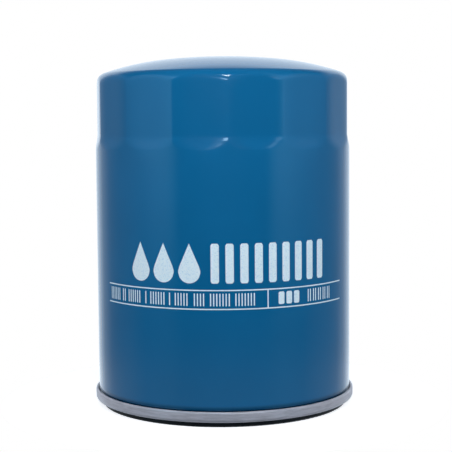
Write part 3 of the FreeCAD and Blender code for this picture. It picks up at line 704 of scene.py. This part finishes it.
def print_marks(label):
    """Small marks between the rules: groups of thin bars, three blocks, and five pairs."""
    groups = ((-50.6 * MM, 6), (-43.0 * MM, 2), (-39.8 * MM, 6), (-31.6 * MM, 1), (-29.4 * MM, 6),
              (-21.8 * MM, 1), (-19.6 * MM, 5), (-12.6 * MM, 4), (-6.9 * MM, 7), (1.9 * MM, 7))
    for first, count in groups:
        for i in range(count):
            left = first + i * MARK_PITCH
            ink_bar(label, left, left + MARK_WIDTH, MARK_FOOT, MARK_HEAD)
    block_width, block_pitch, first_block = 2.3 * MM, 3.1 * MM, 17.6 * MM
    for i in range(3):
        left = first_block + i * block_pitch
        ink_bar(label, left, left + block_width, MARK_FOOT, MARK_HEAD, corner=0.4 * MM)
    pair_pitch, first_pair = 2.6 * MM, 30.0 * MM
    for i in range(5):
        for k in range(2):
            left = first_pair + i * pair_pitch + k * MARK_PITCH
            ink_bar(label, left, left + MARK_WIDTH, MARK_FOOT, MARK_HEAD)


def make_label():
    """All the print, as one thin mesh on the can's side."""
    label = ([], [])
    print_rules(label)
    print_device(label)
    print_marks(label)
    return mesh_object("label_print", *label, smooth=False)


label = make_label()
dress(label, "print")
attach(label, "housing")


# ---------------------------------------------------------------- springs

OPENING_START = 0.75
OPENING_LENGTH = 0.5
STEPS_PER_TURN = 72
WIRE_SIDES = 20


def spring_heights(wire_radius, foot, head, turns, steps):
    """Heights of the wire's centre line: a closed turn at each end, and open turns between them.

    The pitch opens from OPENING_START turns after an end, over OPENING_LENGTH turns. The centre line
    starts and ends near the ground faces, so that they cut the wire."""
    closed = 2.04 * wire_radius
    end_offset = 0.45 * wire_radius
    shares = []
    for i in range(steps):
        turn = turns * (i + 0.5) / steps
        into = min(turn, turns - turn)
        shares.append(smooth_step((into - OPENING_START) / OPENING_LENGTH))
    step_turn = turns / steps
    travel = head - foot - 2 * end_offset
    open_turns = sum(shares) * step_turn
    open_pitch = (travel - closed * (turns - open_turns)) / open_turns
    heights = [foot + end_offset]
    for share in shares:
        heights.append(heights[-1] + step_turn * (closed + (open_pitch - closed) * share))
    return heights


def make_spring(name, node, body, coil_radius, wire_radius, turns):
    """A coil spring with closed ends, ground flat at both of its CAD node's heights."""
    foot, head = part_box(node)[0].z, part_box(node)[1].z
    steps = round(turns * STEPS_PER_TURN)
    heights = spring_heights(wire_radius, foot, head, turns, steps)
    vertices = []
    for i, height in enumerate(heights):
        angle = math.tau * turns * i / steps
        for k in range(WIRE_SIDES):
            round_wire = math.tau * k / WIRE_SIDES
            radius = coil_radius + wire_radius * math.cos(round_wire)
            z = min(max(height + wire_radius * math.sin(round_wire), foot), head)
            vertices.append((radius * math.cos(angle), radius * math.sin(angle), z))
    faces = []
    for i in range(steps):
        for k in range(WIRE_SIDES):
            following = (k + 1) % WIRE_SIDES
            near, far = i * WIRE_SIDES, (i + 1) * WIRE_SIDES
            faces.append((near + k, far + k, far + following, near + following))
    faces.append(tuple(range(WIRE_SIDES)))
    faces.append(tuple(steps * WIRE_SIDES + k for k in reversed(range(WIRE_SIDES))))
    spring = add_piece(mesh_object(name, vertices, faces), "spring_steel", body, node)
    sharpen(spring, degrees=40.0)
    return spring


load_spring = make_spring("ground_load_spring", "load_spring", "housing",
                          coil_radius=17.5 * MM, wire_radius=1.2 * MM, turns=4.5)
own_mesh(load_spring)

bypass_spring = make_spring("ground_bypass_spring", "bypass_spring", "element",
                            coil_radius=7.0 * MM, wire_radius=0.6 * MM, turns=6)
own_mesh(bypass_spring)


# ---------------------------------------------------------------- carried-over CAD nodes

# A node that a new piece replaces is hidden already.
for entry in frame["record"]["subparts"]:
    node = frame["nodes"][entry["node"]]
    if not node.hide_render:
        dress(node, entry["material_slot"])


# ---------------------------------------------------------------- camera, floor and light

CAMERA_AZIMUTH = math.radians(-2.5)
FLOOR_RADIUS = 85.0 * MM
SKY = (0.48, 0.76, 1.0)


def make_camera():
    """The photo's camera: in front of the label and below the dome's top, looking slightly down."""
    distance = 483.6 * MM
    height = 108.7 * MM
    aim_side = 1.05 * MM
    aim_height = 66.87 * MM
    roll = math.radians(-0.44)

    data = bpy.data.cameras.new("camera")
    camera = bpy.data.objects.new("camera", data)
    bpy.context.scene.collection.objects.link(camera)
    data.lens = 101.08
    data.sensor_width = 36.0
    data.clip_start = 0.01
    data.clip_end = 100.0
    right = Vector((math.cos(CAMERA_AZIMUTH), math.sin(CAMERA_AZIMUTH), 0.0))
    forward = Vector((-math.sin(CAMERA_AZIMUTH), math.cos(CAMERA_AZIMUTH), 0.0))
    camera.location = forward * -distance + Vector((0.0, 0.0, height))
    aim = right * aim_side + Vector((0.0, 0.0, aim_height))
    camera.rotation_mode = "QUATERNION"
    level = (aim - camera.location).to_track_quat("-Z", "Y")
    camera.rotation_quaternion = level @ Quaternion((0.0, 0.0, 1.0), roll)
    bpy.context.scene.camera = camera


def make_floor():
    """A round pale table top under the can. It glows a little, so that its rim meets a white backdrop."""
    columns = 96
    angles = [math.tau * i / columns for i in range(columns)]
    vertices = [(FLOOR_RADIUS * math.cos(a), FLOOR_RADIUS * math.sin(a), 0.0) for a in angles]
    floor = mesh_object("floor", vertices, [tuple(range(columns))], smooth=False)
    material = new_material("floor_white", roughness=0.9, specular=0.1)
    cloud = noise(material, 3.0)
    tone = ramp(material, cloud, [(0.3, (0.78, 0.78, 0.79)), (0.7, (0.82, 0.82, 0.83))])
    plug(material, "Base Color", tone)
    plug(material, "Emission Color", tone)
    material.node_tree.nodes["Principled BSDF"].inputs["Emission Strength"].default_value = 0.9
    floor.data.materials.append(material)
    floor.visible_diffuse = False
    floor.visible_glossy = False


def soft_box(name, direction, distance, size, power, tint=(1.0, 1.0, 1.0), glossy=True, diffuse=True):
    """An area light that faces the can.

    direction is (azimuth, elevation) in degrees, with the azimuth from the camera's side and
    positive to the right. size is (width, height). A light may be for highlights only, or for
    matt light only."""
    target = Vector((0.0, 0.0, 80.0 * MM))
    turn = math.radians(direction[0]) + CAMERA_AZIMUTH
    lift = math.radians(direction[1])
    away = Vector((math.sin(turn) * math.cos(lift), -math.cos(turn) * math.cos(lift), math.sin(lift)))
    data = bpy.data.lights.new(name, "AREA")
    data.shape = "RECTANGLE"
    data.size, data.size_y = size
    data.energy = power
    data.color = tint
    light = bpy.data.objects.new(name, data)
    bpy.context.scene.collection.objects.link(light)
    light.location = target + away * distance
    light.rotation_mode = "QUATERNION"
    light.rotation_quaternion = (-away).to_track_quat("-Z", "Y")
    light.visible_camera = False
    light.visible_glossy = glossy
    light.visible_diffuse = diffuse


def calculate(tree, operation, first, second=None):
    """The result of a math node. second is a number or another node's output."""
    node = tree.nodes.new("ShaderNodeMath")
    node.operation = operation
    tree.links.new(first, node.inputs[0])
    if isinstance(second, float):
        node.inputs[1].default_value = second
    elif second is not None:
        tree.links.new(second, node.inputs[1])
    return node.outputs["Value"]


def join_light(tree, operation, first, second):
    """Two colours added or multiplied."""
    node = tree.nodes.new("ShaderNodeVectorMath")
    node.operation = operation
    tree.links.new(first, node.inputs[0])
    tree.links.new(second, node.inputs[1])
    return node.outputs["Vector"]


def grey_band(tree, value, stops):
    """Greys along a value: stops of (position, level)."""
    return colour_band(tree, value, [(position, (level, level, level)) for position, level in stops])


def studio_coordinates(tree):
    """Where a ray goes: its azimuth from the camera's side, 0 to 1 for 0 to 180 degrees either way,
    and its height, 0 to 1 from straight down to straight up."""
    source = tree.nodes.new("ShaderNodeTexCoord")
    turn = tree.nodes.new("ShaderNodeVectorRotate")
    turn.rotation_type = "Z_AXIS"
    turn.inputs["Angle"].default_value = -CAMERA_AZIMUTH
    tree.links.new(source.outputs["Generated"], turn.inputs["Vector"])
    split = tree.nodes.new("ShaderNodeSeparateXYZ")
    tree.links.new(turn.outputs["Vector"], split.inputs["Vector"])

    towards = calculate(tree, "MULTIPLY", split.outputs["Y"], -1.0)
    angle = calculate(tree, "ABSOLUTE", calculate(tree, "ARCTAN2", split.outputs["X"], towards))
    azimuth = calculate(tree, "DIVIDE", angle, math.pi)
    height = tree.nodes.new("ShaderNodeMapRange")
    height.inputs["From Min"].default_value = -1.0
    height.inputs["From Max"].default_value = 1.0
    tree.links.new(split.outputs["Z"], height.inputs["Value"])
    return azimuth, height.outputs["Result"]


def studio_light(tree):
    """A studio: dark round the camera, a pale panel at each side, a white wall behind the can."""
    azimuth, height = studio_coordinates(tree)
    panels = [(0, (0.03, 0.10, 0.22)), (12, (0.02, 0.06, 0.15)), (25, (0.0, 0.0, 0.03)),
              (39, (0.02, 0.02, 0.04)), (44, (0.22, 0.45, 0.5)), (50, (0.42, 0.78, 1.0)),
              (60, (0.42, 0.78, 1.0)), (70, (0.36, 0.6, 0.8)), (80, (0.22, 0.32, 0.38)),
              (92, (0.08, 0.08, 0.08)), (104, (0.0, 0.0, 0.0))]
    sides = colour_band(tree, azimuth, [(degrees / 180, colour) for degrees, colour in panels])
    side_rise = grey_band(tree, height, [
        (0.0, 0.1), (0.415, 0.12), (0.455, 0.5), (0.485, 0.9), (0.5, 1.0), (0.57, 1.0), (0.65, 1.2),
        (0.8, 1.4), (0.9, 0.3), (1.0, 0.1)])
    wall = [(74, 0.0), (80, 0.06), (92, 0.16), (110, 0.22), (122, 0.28), (132, 0.48), (138, 0.54),
            (144, 0.78), (152, 0.95), (165, 1.0)]
    back = colour_band(tree, azimuth, [
        (degrees / 180, (0.96 * level, 1.1 * level, 1.24 * level)) for degrees, level in wall])
    back_rise = grey_band(tree, height, [
        (0.0, 1.0), (0.5, 1.0), (0.745, 0.97), (0.78, 0.55), (0.8, 0.25), (0.86, 0.1), (1.0, 0.08)])
    table = grey_band(tree, height, [
        (0.0, 0.04), (0.33, 0.04), (0.36, 0.26), (0.4, 0.26), (0.408, 0.0)])
    walls = join_light(tree, "ADD",
                       join_light(tree, "MULTIPLY", sides, side_rise),
                       join_light(tree, "MULTIPLY", back, back_rise))
    return join_light(tree, "ADD", walls, table)


def make_world():
    """The can mirrors the studio, and the camera sees plain white behind it."""
    world = bpy.data.worlds.new("studio")
    bpy.context.scene.world = world
    world.use_nodes = True
    tree = world.node_tree
    studio = tree.nodes["Background"]
    tree.links.new(studio_light(tree), studio.inputs["Color"])
    white = tree.nodes.new("ShaderNodeBackground")
    white.inputs["Color"].default_value = (1.0, 1.0, 1.0, 1.0)
    path = tree.nodes.new("ShaderNodeLightPath")
    mix = tree.nodes.new("ShaderNodeMixShader")
    tree.links.new(path.outputs["Is Camera Ray"], mix.inputs["Fac"])
    tree.links.new(studio.outputs["Background"], mix.inputs[1])
    tree.links.new(white.outputs["Background"], mix.inputs[2])
    tree.links.new(mix.outputs["Shader"], tree.nodes["World Output"].inputs["Surface"])


make_camera()
make_floor()
make_world()

# Highlights: a key over the camera for the dome's edge, a brow for the shoulder, a glow each side.
soft_box("key", (3.8, 50.0), 0.9, (0.12, 0.1), 1.6, tint=(0.8, 0.95, 1.0), diffuse=False)
soft_box("brow", (-5.0, 17.0), 1.4, (0.22, 0.14), 1.25, tint=SKY, diffuse=False)
soft_box("brow_halo", (-7.0, 17.0), 1.42, (0.44, 0.24), 0.26, tint=SKY, diffuse=False)
soft_box("right_glow", (40.5, 17.0), 1.4, (0.17, 0.24), 0.26, tint=SKY, diffuse=False)
soft_box("left_glow", (-43.0, 30.0), 1.4, (0.2, 0.4), 0.4, tint=SKY, diffuse=False)

# Matt light, which shows the ink and the enamel's own colour.
soft_box("fill", (0.0, 28.5), 0.28, (0.2, 0.2), 0.475, glossy=False)
soft_box("left_fill", (-75.0, 25.0), 1.0, (0.4, 0.4), 2.3, glossy=False)
soft_box("right_fill", (75.0, 25.0), 1.0, (0.4, 0.4), 2.7, glossy=False)

bpy.context.scene.view_settings.view_transform = "Standard"
